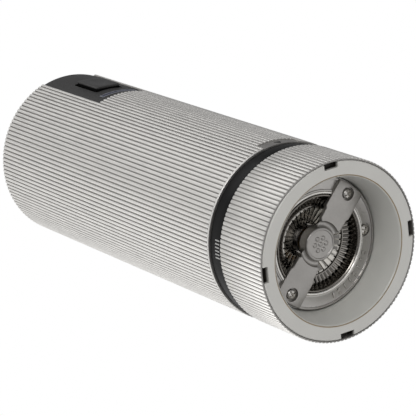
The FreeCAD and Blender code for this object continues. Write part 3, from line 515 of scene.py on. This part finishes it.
MATERIAL_OF_SLOT = {
    "ribbed_metal": ribbed_metal, "insert_plastic": pale_insert, "black_plastic": black_satin,
    "plate_steel": pressed_steel, "screw_steel": screw_steel, "burr_steel": burr_steel,
    "shaft_steel": shaft_steel, "spring_steel": spring_wire, "bush_bronze": bush_bronze,
    "white_acetal": acetal, "gear_grey": gear_grey, "sun_brass": sun_brass, "motor_steel": can_steel,
    "hopper_clear": hopper_clear, "seal_rubber": seal_rubber, "lens_blue": lens_navy, "cell_wrap": cell_wrap,
    "tab_nickel": nickel, "board_green": board_green, "switch_black": switch_black, "led_white": lamp_white,
}

for entry in frame["record"]["subparts"]:
    node = frame["nodes"][entry["node"]]
    node.data.materials.clear()
    node.data.materials.append(MATERIAL_OF_SLOT[entry["material_slot"]])

# ---------------------------------------------------------------------------------------------------------
# Ribbed shells

RIB_SECTION = ((0.0, 0.0), (0.08, 0.0), (0.12, 0.4), (0.18, 0.8), (0.3, 1.0),
               (0.7, 1.0), (0.82, 0.8), (0.88, 0.4), (0.92, 0.0), (1.0, 0.0))


def attach(piece, body, slot, *nodes):
    """Gives a piece its body and hides the CAD nodes that it stands for. Its slot is not used."""
    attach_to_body(piece, body)
    if nodes:
        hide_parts(*nodes)


def make_sleeve():
    """The long sleeve: a plain lip, then ribs to the top, with the panel's opening and the pointer's flat."""
    bottom, height_top = low("sleeve"), top("sleeve")
    lip = bottom + 0.55
    mesh = bmesh.new()
    fluted_shell(mesh, RIB_COUNT, FRONT, RIB_SECTION, (
        (WALL, 0, bottom, 0), (CREST - 0.2, 0, bottom, 0), (CREST - 0.08, 0, bottom + 0.12, 0),
        (CREST - 0.08, 0, lip, 0), (FLOOR, RIB_DEPTH, lip + 0.04, 0),
        (FLOOR, RIB_DEPTH, height_top - 0.25, 0),
        (FLOOR - 0.05, RIB_DEPTH * 0.5, height_top, 0), (WALL, 0, height_top, 0)))
    piece = finish_mesh(mesh, "sleeve_ribs", ribbed_metal)
    opening = bmesh.new()
    panel_low = low("indicator_lens") - 3.6
    add_sector(opening, WALL - 1, CREST + 1, panel_low, height_top + 1, FRONT, PANEL_SPREAD)
    carve(piece, opening)
    flat = bmesh.new()
    add_sector(flat, FLOOR, CREST + 1, bottom - 0.5, lip + 3.3, FRONT, 13.6)
    carve(piece, flat)
    attach(piece, "upper_unit", "ribbed_metal", "sleeve")


def make_grip():
    """The ribbed ring that is turned to set the grind."""
    bottom, height_top = low("grip_ring"), top("grip_ring")
    flange = reach("base_insert") + 0.12
    bore = flange - 1.1
    mesh = bmesh.new()
    fluted_shell(mesh, RIB_COUNT, FRONT, RIB_SECTION, (
        (flange, 0, bottom + 0.1, 0), (flange + 0.12, 0, bottom, 0), (FLOOR - 0.05, 0, bottom, 0),
        (FLOOR, RIB_DEPTH * 0.6, bottom + 0.08, 0), (FLOOR, RIB_DEPTH, bottom + 0.35, 0),
        (FLOOR, RIB_DEPTH, height_top - 0.3, 0), (FLOOR, RIB_DEPTH * 0.7, height_top - 0.06, 0),
        (FLOOR - 0.1, 0, height_top, 0), (bore, 0, height_top, 0), (bore, 0, bottom + 3.05, 0),
        (flange, 0, bottom + 3.05, 0)))
    piece = finish_mesh(mesh, "grip_ribs", ribbed_metal)
    attach(piece, "adjuster", "ribbed_metal", "grip_ring")


# ---------------------------------------------------------------------------------------------------------
# Mouth insert and scale band


def make_insert():
    """The pale insert: a flat end face, a fine seam, then a rounded mouth that narrows to the mechanism."""
    rim = reach("base_insert")
    height_top = top("base_insert")
    mouth = 21.45
    throat = 19.65
    flare = mouth - 0.35 - throat
    wall = [(throat + flare * (1 - step / 9) ** 2.1, 0.75 + 9.25 * step / 9) for step in range(10)]
    outline = [
        (rim, 0.25), (rim - 0.25, 0.0), (21.85, 0.0), (21.78, 0.22), (21.58, 0.22), (21.5, 0.04),
        (mouth - 0.1, 0.12), (mouth - 0.25, 0.36), *wall,
        (throat, 12.25), (18.7, 12.25), (18.7, 14.15), (22.15, 14.15), (22.15, height_top),
        (rim - 1.05, height_top), (rim - 1.05, 3.1), (rim, 3.1),
    ]
    mesh = bmesh.new()
    add_turned(mesh, outline, 0.0, 192)
    piece = finish_mesh(mesh, "mouth_insert", pale_insert, 40.0)
    pockets = bmesh.new()
    for quarter in range(4):
        add_plate(pockets, rectangle(3.0, 4.7), -1.0, 3.6, 0.2, 0.0,
                  turned_to(NOTCH_ANGLE + 90.0 * quarter, 25.55))
    carve(piece, pockets, crease=40.0)
    attach(piece, "adjuster", "insert_plastic", "base_insert")


def make_band():
    """The smooth black band and its six short marks."""
    edge = reach("scale_band")
    bottom, height_top = low("scale_band"), top("scale_band")
    mesh = bmesh.new()
    inner = edge - 1.3
    add_turned(mesh, ((inner, bottom), (edge, bottom), (edge, height_top), (inner, height_top)), 0.2, 192)
    piece = finish_mesh(mesh, "black_scale_band", black_gloss)
    attach(piece, "adjuster", "black_plastic", "scale_band")
    marks = bmesh.new()
    for step in range(6):
        add_sector(marks, edge - 0.1, edge + 0.03, bottom + 1.0, bottom + 3.1,
                   MARK_ANGLE + 2.26 * step, 0.42, 2)
    piece = finish_mesh(marks, "scale_marks", mark_white)
    attach(piece, "adjuster", "insert_plastic")


# ---------------------------------------------------------------------------------------------------------
# Mechanism plate, crossbar and screws


def make_plate():
    """The pressed plate: a flat rim, two dished channels beside the bar, and a rolled bead at its hole."""
    edge = reach("mechanism_plate")
    front = low("mechanism_plate")
    back = top("mechanism_plate")
    hole = 14.25
    outline = [(edge - 0.25, front - 0.02), (hole + 0.6, front), (hole + 0.1, front + 0.4),
               (hole, back), (edge, back), (edge, front + 0.25)]
    mesh = bmesh.new()
    add_turned(mesh, outline, 0.0, 192)
    piece = finish_mesh(mesh, "pressed_plate", pressed_steel, 40.0)
    channels = bmesh.new()
    for side in (0.0, 180.0):
        add_sector(channels, 15.5, 18.6, front - 1, front + 0.45, BAR_ANGLE + 90 + side, 76.0, 64, 0.12)
    carve(piece, channels, crease=40.0)
    seats = bmesh.new()
    for side in (0.0, 180.0):
        add_plate(seats, rectangle(9.0, 9.5), front - 1, 1.55, 0.0, 0.0, turned_to(BAR_ANGLE + side, 16.5))
    carve(piece, seats, crease=40.0)
    holes = bmesh.new()
    for side in (0.0, 180.0):
        add_round(holes, 2.0, front - 1, front + 1.1, PLATE_SCREW_ANGLE + side, PLATE_SCREW_REACH)
    carve(piece, holes, crease=40.0)
    attach(piece, "lower_unit", "plate_steel", "mechanism_plate")
    # The bead's lighter steel is a painted highlight.
    bead = bmesh.new()
    add_turned(bead, arc(0.52, 0, 345, 23, hole + 0.5, front + 0.3), 0.0, 192)
    piece = finish_mesh(bead, "plate_bead", bead_highlight_steel, 60.0)
    gap = bmesh.new()
    add_plate(gap, rectangle(44.0, 9.5), front - 2, 4.0, 0.0, 0.0, turned_to(BAR_ANGLE))
    carve(piece, gap, crease=60.0)
    attach(piece, "lower_unit", "plate_steel")
    marks = bmesh.new()
    for step in range(8):
        angle = BAR_ANGLE + 90 - 18 + 7.6 * step
        if step % 3:
            add_plate(marks, rectangle(1.9, 0.55), front + 0.12, 0.45, 0.15, 0.12, turned_to(angle, 17.0))
        else:
            for reach_out in (16.45, 17.6):
                add_round(marks, 0.5, front + 0.12, front + 0.57, angle, reach_out)
    piece = finish_mesh(marks, "raised_plate_marks", pressed_steel)
    attach(piece, "lower_unit", "plate_steel")


def make_crossbar():
    """The bar across the burr: wide ends, stepped waist, and a coin-like boss in a pressed ring."""
    edge = reach("mechanism_plate") - 0.2
    front = low("crossbar")
    thickness = 1.5
    half = 4.7
    corner = math.degrees(math.asin(half / edge))
    side = [*arc(edge, 0, corner, 5)[1:], (10.3, half), (9.5, 4.15), (6.5, 4.1), (5.6, 3.35), (3.6, 3.3)]
    upper = [(x, y) for x, y in side] + [(-x, y) for x, y in reversed(side)]
    outline = [(edge, 0.0)] + upper + [(-edge, 0.0)] + [(-x, -y) for x, y in upper]
    mesh = bmesh.new()
    add_plate(mesh, outline, front, thickness, 0.0, 0.3)
    piece = finish_mesh(mesh, "bridge_bar", tumbled_steel, 40.0)
    boss = bmesh.new()
    add_turned(boss, ((0.0, front - 0.12), (4.05, front - 0.12), (4.25, front - 0.32), (4.6, front - 0.32),
                      (4.88, front - 0.1), (4.95, front + 0.1), (4.95, front + 3.0), (0.0, front + 3.0)),
               0.0, 96)
    dips = bmesh.new()
    add_turned(dips, arc(1.0, 0, 330, 11, 5.75, front + 0.05), 0.0, 96)
    carve(piece, dips, crease=40.0)
    carve(piece, boss, "UNION", 40.0)
    seats = bmesh.new()
    for turn in (0.0, 180.0):
        add_round(seats, 2.05, front - 1, front + 1.05, turn, BAR_SCREW_REACH)
    carve(piece, seats, crease=40.0)
    piece.data.transform(Matrix.Rotation(math.radians(BAR_ANGLE), 4, "Z"))
    attach(piece, "lower_unit", "plate_steel", "crossbar")
    emblem = bmesh.new()
    for distance, count in ((0.0, 1), (1.9, 6)):
        for step in range(count):
            corn = bmesh.new()
            bmesh.ops.create_uvsphere(corn, u_segments=20, v_segments=10, radius=0.72)
            bmesh.ops.scale(corn, vec=(1, 1, 0.45), verts=corn.verts)
            bmesh.ops.translate(corn, verts=corn.verts, vec=polar(distance, 60.0 * step, front - 0.12))
            join(emblem, corn)
    piece = finish_mesh(emblem, "boss_peppercorns", tumbled_steel)
    attach(piece, "lower_unit", "plate_steel")


def make_screws(name, node, distance, direction):
    """Two round-headed cross-slot screws, heads down, across the axis from each other."""
    head, shank = 1.5, 1.15
    head_low, tip = low(node), top(node)
    rise = head_low + 0.95
    dome = []
    for degrees in range(0, 91, 15):
        angle = math.radians(degrees)
        dome.append((head * math.sin(angle), head_low + 0.62 * (1 - math.cos(angle))))
    mesh = bmesh.new()
    for side in (0.0, 180.0):
        part = bmesh.new()
        add_turned(part, [*dome, (head, rise), (shank, rise), (shank, tip), (0.0, tip)], 0.0, 40)
        bmesh.ops.transform(part, matrix=turned_to(direction + side, distance), verts=part.verts)
        join(mesh, part)
    piece = finish_mesh(mesh, name, screw_steel, 40.0)
    slots = bmesh.new()
    arm, half = 1.1, 0.27
    cross = ((arm, -half), (arm, half), (half, half), (half, arm), (-half, arm), (-half, half),
             (-arm, half), (-arm, -half), (-half, -half), (-half, -arm), (half, -arm), (half, -half))
    for side in (0.0, 180.0):
        place = turned_to(direction + side, distance) @ Matrix.Rotation(math.radians(25.0), 4, "Z")
        add_plate(slots, cross, head_low - 0.5, 1.25, 0.0, 0.0, place)
    carve(piece, slots, crease=40.0)
    attach(piece, "lower_unit", "screw_steel", node)


# ---------------------------------------------------------------------------------------------------------
# Burrs

# Sections of one tooth and one blade: (place in the pitch, relief).
TOOTH = ((0.0, 1.0), (0.2, 1.0), (0.42, 0.0), (0.75, 0.0), (0.9, 1.0), (1.0, 1.0))
BLADE = ((0.0, 0.0), (0.07, 0.0), (0.09, 0.97), (0.13, 1.0),
         (0.82, 0.97), (0.87, 0.94), (0.89, 0.0), (1.0, 0.0))


def make_burrs():
    """The ring burr's teeth, the toothed cone, and the fan of blades in the cone's dished underside."""
    ring_low, ring_top = low("ring_burr"), top("ring_burr")
    back = top("mechanism_plate")
    mesh = bmesh.new()
    fluted_shell(mesh, 60, 0.0, TOOTH, (
        (13.55, 0, ring_low + 0.25, 0), (13.75, 0, ring_low, 0), (13.95, 0, ring_low, 0),
        (14.08, 0, ring_low + 0.2, 0), (14.08, 0, back + 0.02, 0), (17.0, 0, back + 0.02, 0),
        (17.0, 0, back + 2, 0), (14.08, 0, back + 2, 0), (14.08, 0, ring_top, 0),
        (13.35, -0.6, ring_top, 0), (12.5, -0.5, ring_top - 4, 0), (12.95, -0.35, back + 3.2, 0),
        (13.55, -0.2, back, 0)))
    piece = finish_mesh(mesh, "toothed_ring", ring_steel, 25.0)
    attach(piece, "lower_unit", "burr_steel", "ring_burr")

    base, peak = low("cone_burr"), top("cone_burr")
    mesh = bmesh.new()
    fluted_shell(mesh, 60, 0.0, TOOTH, (
        (3.05, 0, base + 5.2, 0), (4.4, 0, base + 5.2, 0), (10.1, 0, base + 2.3, 0),
        (10.1, 0, base + 0.9, 0), (10.18, 0, base + 0.7, 0), (10.45, 0, base + 0.7, 0),
        (10.55, 0, base + 1.3, 0), (11.2, 0, base + 1.25, -0.3), (12.4, 0.05, base + 0.75, -0.45),
        (12.95, 0.32, base + 1.1, -0.6), (12.3, 0.35, base + 3.0, 0), (10.6, 0.5, base + 5.8, 0),
        (7.1, 0.5, peak - 2, 0), (5.0, 0, peak, 0), (3.05, 0, peak, 0)))
    piece = finish_mesh(mesh, "toothed_cone", burr_steel, 25.0)
    attach(piece, "spindle", "burr_steel", "cone_burr")
    mesh = bmesh.new()
    fluted_shell(mesh, 36, 4.0, BLADE, (
        (4.4, 0, base + 5.15, 0), (4.4, 0, base + 4.6, 0), (5.0, 0, base + 4.3, -0.8),
        (7.4, 0, base + 3.15, -0.9), (9.6, 0, base + 2.1, -1.0), (10.05, 0, base + 1.9, -0.8),
        (10.05, 0, base + 2.25, 0)))
    piece = finish_mesh(mesh, "burr_fan", blade_steel, 20.0)
    attach(piece, "spindle", "burr_steel")


# ---------------------------------------------------------------------------------------------------------
# Panel, window, button and pointer


def make_panel():
    """The black panel with the button's recess and the window's slot, the button, and the pointer."""
    node_low, node_top = low("control_panel"), top("control_panel")
    mesh = bmesh.new()
    add_sector(mesh, WALL + 0.02, PANEL, node_low + 1.7, node_top, FRONT, PANEL_SPREAD - 0.25, 64, 0.12)
    piece = finish_mesh(mesh, "black_panel", panel_black)
    back = bmesh.new()
    add_sector(back, 23.4, WALL + 0.1, node_low, low("top_cap") - 0.1, FRONT, 22.5, 48)
    carve(piece, back, "UNION")
    button_low, button_top = low("push_button") + BUTTON_FLANGE, top("push_button") - BUTTON_FLANGE
    middle = (button_low + button_top) / 2
    height = button_top - button_low
    recess = bmesh.new()
    add_plate(recess, rectangle(10.0, height + 1.5), 0.0, 3.0, BUTTON_CORNER, 0.0,
              facing(FRONT, PANEL - 1.4, middle))
    carve(piece, recess)
    hole = bmesh.new()
    add_plate(hole, rectangle(BUTTON_WIDTH + 0.3, height + 0.3), 0.0, 6.0, BUTTON_CORNER, 0.0,
              facing(FRONT, 21.5, middle))
    carve(piece, hole)
    slot_low, slot_top = low("indicator_lens"), top("indicator_lens")
    window = bmesh.new()
    add_sector(window, 22.0, CREST + 1, slot_low - 0.1, slot_top + 0.1, FRONT, WINDOW_SPREAD + 0.05, 40)
    carve(piece, window)
    attach(piece, "upper_unit", "black_plastic", "control_panel")

    lens = bmesh.new()
    add_sector(lens, WALL, PANEL - 0.04, slot_low + 0.18, slot_top - 0.18, FRONT, 13.2, 40, 0.1)
    piece = finish_mesh(lens, "navy_window", lens_navy)
    attach(piece, "upper_unit", "lens_blue", "indicator_lens")
    border = bmesh.new()
    add_sector(border, WALL, PANEL + 0.03, slot_low - 0.08, slot_top + 0.08, FRONT, WINDOW_SPREAD, 40, 0.06)
    piece = finish_mesh(border, "window_border", frame_grey)
    inside = bmesh.new()
    add_sector(inside, WALL - 1, CREST + 1, slot_low + 0.2, slot_top - 0.2, FRONT, 13.25, 40)
    carve(piece, inside)
    attach(piece, "upper_unit", "lens_blue")

    face = 0.4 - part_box("push_button")[0].y / MM
    # The skirt's near-black finish is painted shade round the raised button.
    skirt = bmesh.new()
    add_plate(skirt, rectangle(BUTTON_WIDTH - 0.2, height - 0.2), 0.0, face - 22.9, 0.8, 0.0,
              facing(FRONT, 22.4, middle))
    add_plate(skirt, rectangle(BUTTON_WIDTH + 2 * BUTTON_FLANGE, height + 2 * BUTTON_FLANGE), 0.0, 0.9,
              BUTTON_CORNER, 0.1, facing(FRONT, 21.6, middle))
    piece = finish_mesh(skirt, "button_skirt", skirt_painted_shade)
    attach(piece, "button", "black_plastic")
    button = bmesh.new()
    add_plate(button, rectangle(BUTTON_WIDTH, height), 0.0, 0.8, BUTTON_CORNER, 0.3,
              facing(FRONT, face - 0.8, middle))
    piece = finish_mesh(button, "thumb_button", button_black)
    hollow = bmesh.new()
    bmesh.ops.create_uvsphere(hollow, u_segments=64, v_segments=48, radius=60.0)
    bmesh.ops.scale(hollow, vec=(0.55, 1.0, 0.85), verts=hollow.verts)
    bmesh.ops.translate(hollow, verts=hollow.verts, vec=(0, -(face + 59.75), middle))
    carve(piece, hollow)
    attach(piece, "button", "black_plastic", "push_button")

    pointer = bmesh.new()
    add_plate(pointer, ((-1.1, 2.4), (1.1, 2.4), (0.0, 0.3)), 0.0, 0.3, 0.15, 0.0,
              facing(FRONT, FLOOR - 0.26, low("sleeve")))
    piece = finish_mesh(pointer, "pointer_mark", black_satin)
    attach(piece, "upper_unit", "black_plastic")


# ---------------------------------------------------------------------------------------------------------
# Cap, and the cup that shows when the sleeve is off


def make_cap():
    """The black cap, with the charging opening."""
    edge = reach("top_cap")
    bottom, height_top = low("top_cap"), top("top_cap")
    mesh = bmesh.new()
    add_turned(mesh, ((0.0, bottom), (edge, bottom), (edge, height_top - 0.75),
                      (edge - 0.22, height_top - 0.25), (edge - 0.8, height_top), (0.0, height_top)),
               0.0, 160)
    piece = finish_mesh(mesh, "black_cap", black_satin)
    port = (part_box("charge_port")[0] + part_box("charge_port")[1]) / 2 / MM
    opening = bmesh.new()
    add_plate(opening, stadium(11.2, 5.4), bottom - 1, 6.0, 0.0, 0.0, Matrix.Translation((port.x, port.y, 0)))
    carve(piece, opening)
    attach(piece, "upper_unit", "black_plastic", "top_cap")


def make_cup():
    """The clear cup for peppercorns, with the three slots that key the drive."""
    edge = reach("hopper_cup")
    bottom, height_top = low("hopper_cup"), top("hopper_cup")
    mesh = bmesh.new()
    add_turned(mesh, ((20.0, bottom), (edge, bottom), (edge, height_top), (edge - 1.6, height_top),
                      (edge - 1.6, bottom + 3.5), (20.0, bottom + 1.2)), 0.25, 160)
    piece = finish_mesh(mesh, "clear_cup", hopper_clear)
    slots = bmesh.new()
    for degrees in (90.0, 210.0, 330.0):
        add_plate(slots, rectangle(4.0, 4.4), height_top - 3.5, 5.0, 0.3, 0.0, turned_to(degrees, 23.4))
    carve(piece, slots)
    attach(piece, "lower_unit", "hopper_clear", "hopper_cup")


make_sleeve()
make_grip()
make_insert()
make_band()
make_plate()
make_crossbar()
make_screws("plate_screw_pair", "plate_screws", PLATE_SCREW_REACH, PLATE_SCREW_ANGLE)
make_screws("bar_screw_pair", "crossbar_screws", BAR_SCREW_REACH, BAR_ANGLE)
make_burrs()
make_panel()
make_cap()
make_cup()

# ---------------------------------------------------------------------------------------------------------
# Floor, light and camera


def make_floor():
    """A pale floor that only the camera sees, and only from above, so the grinding end can be looked at."""
    mesh = bmesh.new()
    bmesh.ops.create_grid(mesh, x_segments=1, y_segments=1, size=3.0)
    bmesh.ops.translate(mesh, verts=mesh.verts, vec=(0, 0, -0.0001))
    data = bpy.data.meshes.new("floor")
    mesh.to_mesh(data)
    mesh.free()
    floor = bpy.data.objects.new("floor", data)
    bpy.context.scene.collection.objects.link(floor)
    material, nodes, links, shader = new_material("pale_floor")
    glow = ramp(nodes, links, noise(nodes, links, 3.0),
                ((0.3, (0.80, 0.80, 0.79)), (0.7, (0.83, 0.83, 0.82))))
    tone = ramp(nodes, links, noise(nodes, links, 5.0),
                ((0.3, (0.19, 0.19, 0.19)), (0.7, (0.21, 0.21, 0.21))))
    links.new(tone, shader.inputs["Base Color"])
    shader.inputs["Roughness"].default_value = 0.9
    shader.inputs["Specular IOR Level"].default_value = 0.0
    links.new(glow, shader.inputs["Emission Color"])
    shader.inputs["Emission Strength"].default_value = 0.75
    side = nodes.new("ShaderNodeNewGeometry")
    clear = nodes.new("ShaderNodeBsdfTransparent")
    mix = nodes.new("ShaderNodeMixShader")
    links.new(side.outputs["Backfacing"], mix.inputs["Fac"])
    links.new(shader.outputs["BSDF"], mix.inputs[1])
    links.new(clear.outputs["BSDF"], mix.inputs[2])
    links.new(mix.outputs["Shader"], nodes["Material Output"].inputs["Surface"])
    data.materials.append(material)
    floor.visible_shadow = False
    floor.visible_diffuse = False
    floor.visible_glossy = False
    floor.visible_transmission = False


def make_world():
    """A white surround for the camera, and a soft grey one for the mill to reflect."""
    world = bpy.data.worlds.new("studio")
    bpy.context.scene.world = world
    world.use_nodes = True
    nodes, links = world.node_tree.nodes, world.node_tree.links
    seen = nodes["Background"]
    seen.inputs["Color"].default_value = (1.0, 1.0, 1.0, 1.0)
    reflected = nodes.new("ShaderNodeBackground")
    reflected.inputs["Color"].default_value = (0.27, 0.27, 0.275, 1.0)
    rays = nodes.new("ShaderNodeLightPath")
    mix = nodes.new("ShaderNodeMixShader")
    links.new(rays.outputs["Is Camera Ray"], mix.inputs["Fac"])
    links.new(reflected.outputs["Background"], mix.inputs[1])
    links.new(seen.outputs["Background"], mix.inputs[2])
    links.new(mix.outputs["Shader"], nodes["World Output"].inputs["Surface"])


CAMERA_AIM = Vector((-0.00077, 0.00143, 0.06658))
CAMERA_DISTANCE = 0.7193
CAMERA_AZIMUTH = -61.63
CAMERA_ELEVATION = -54.67
CAMERA_ROLL = -69.32
CAMERA_LENS = 206.97


def make_camera():
    """Looks up at the grinding end from the front left, from a good way off."""
    azimuth, elevation = math.radians(CAMERA_AZIMUTH), math.radians(CAMERA_ELEVATION)
    back = Vector((math.sin(azimuth) * math.cos(elevation), -math.cos(azimuth) * math.cos(elevation),
                   math.sin(elevation)))
    data = bpy.data.cameras.new("camera")
    data.lens = CAMERA_LENS
    data.sensor_width = 36.0
    camera = bpy.data.objects.new("camera", data)
    bpy.context.scene.collection.objects.link(camera)
    camera.rotation_mode = "QUATERNION"
    camera.location = CAMERA_AIM + back * CAMERA_DISTANCE
    level = (-back).to_track_quat("-Z", "Y")
    roll = Matrix.Rotation(math.radians(CAMERA_ROLL), 3, "Z").to_quaternion()
    camera.rotation_quaternion = level @ roll
    bpy.context.scene.camera = camera
    return camera


def make_light(name, camera, across, up, towards, size, power):
    """A soft panel light placed in the camera's own directions from the mill's middle."""
    turn = camera.rotation_quaternion.to_matrix()
    middle = Vector((0, 0, 0.07))
    place = middle + turn @ Vector((across, up, towards))
    data = bpy.data.lights.new(name, "AREA")
    data.shape = "RECTANGLE"
    data.size, data.size_y = size
    data.energy = power
    light = bpy.data.objects.new(name, data)
    bpy.context.scene.collection.objects.link(light)
    light.location = place
    light.visible_camera = False
    light.rotation_mode = "QUATERNION"
    light.rotation_quaternion = (middle - place).to_track_quat("-Z", "Y")


make_floor()
make_world()
camera = make_camera()
make_light("below", camera, -0.50, -0.72, -0.05, (1.2, 1.0), 5.0)
make_light("below_back", camera, -0.45, -0.60, -0.50, (0.9, 0.9), 1.6)
make_light("left", camera, -0.90, -0.05, -0.10, (0.8, 0.8), 1.6)
make_light("above_left", camera, -0.55, 0.75, -0.10, (0.7, 0.7), 2.2)
make_light("above", camera, -0.10, 0.70, 0.60, (0.8, 0.5), 0.7)
make_light("upper_front", camera, -0.26, 0.36, 0.84, (0.4, 0.4), 2.6)
make_light("front", camera, 0.25, 0.05, 0.90, (0.5, 0.5), 0.6)
make_light("fill", camera, 0.75, -0.28, 0.35, (1.1, 1.0), 1.7)
bpy.context.scene.view_settings.view_transform = "Standard"
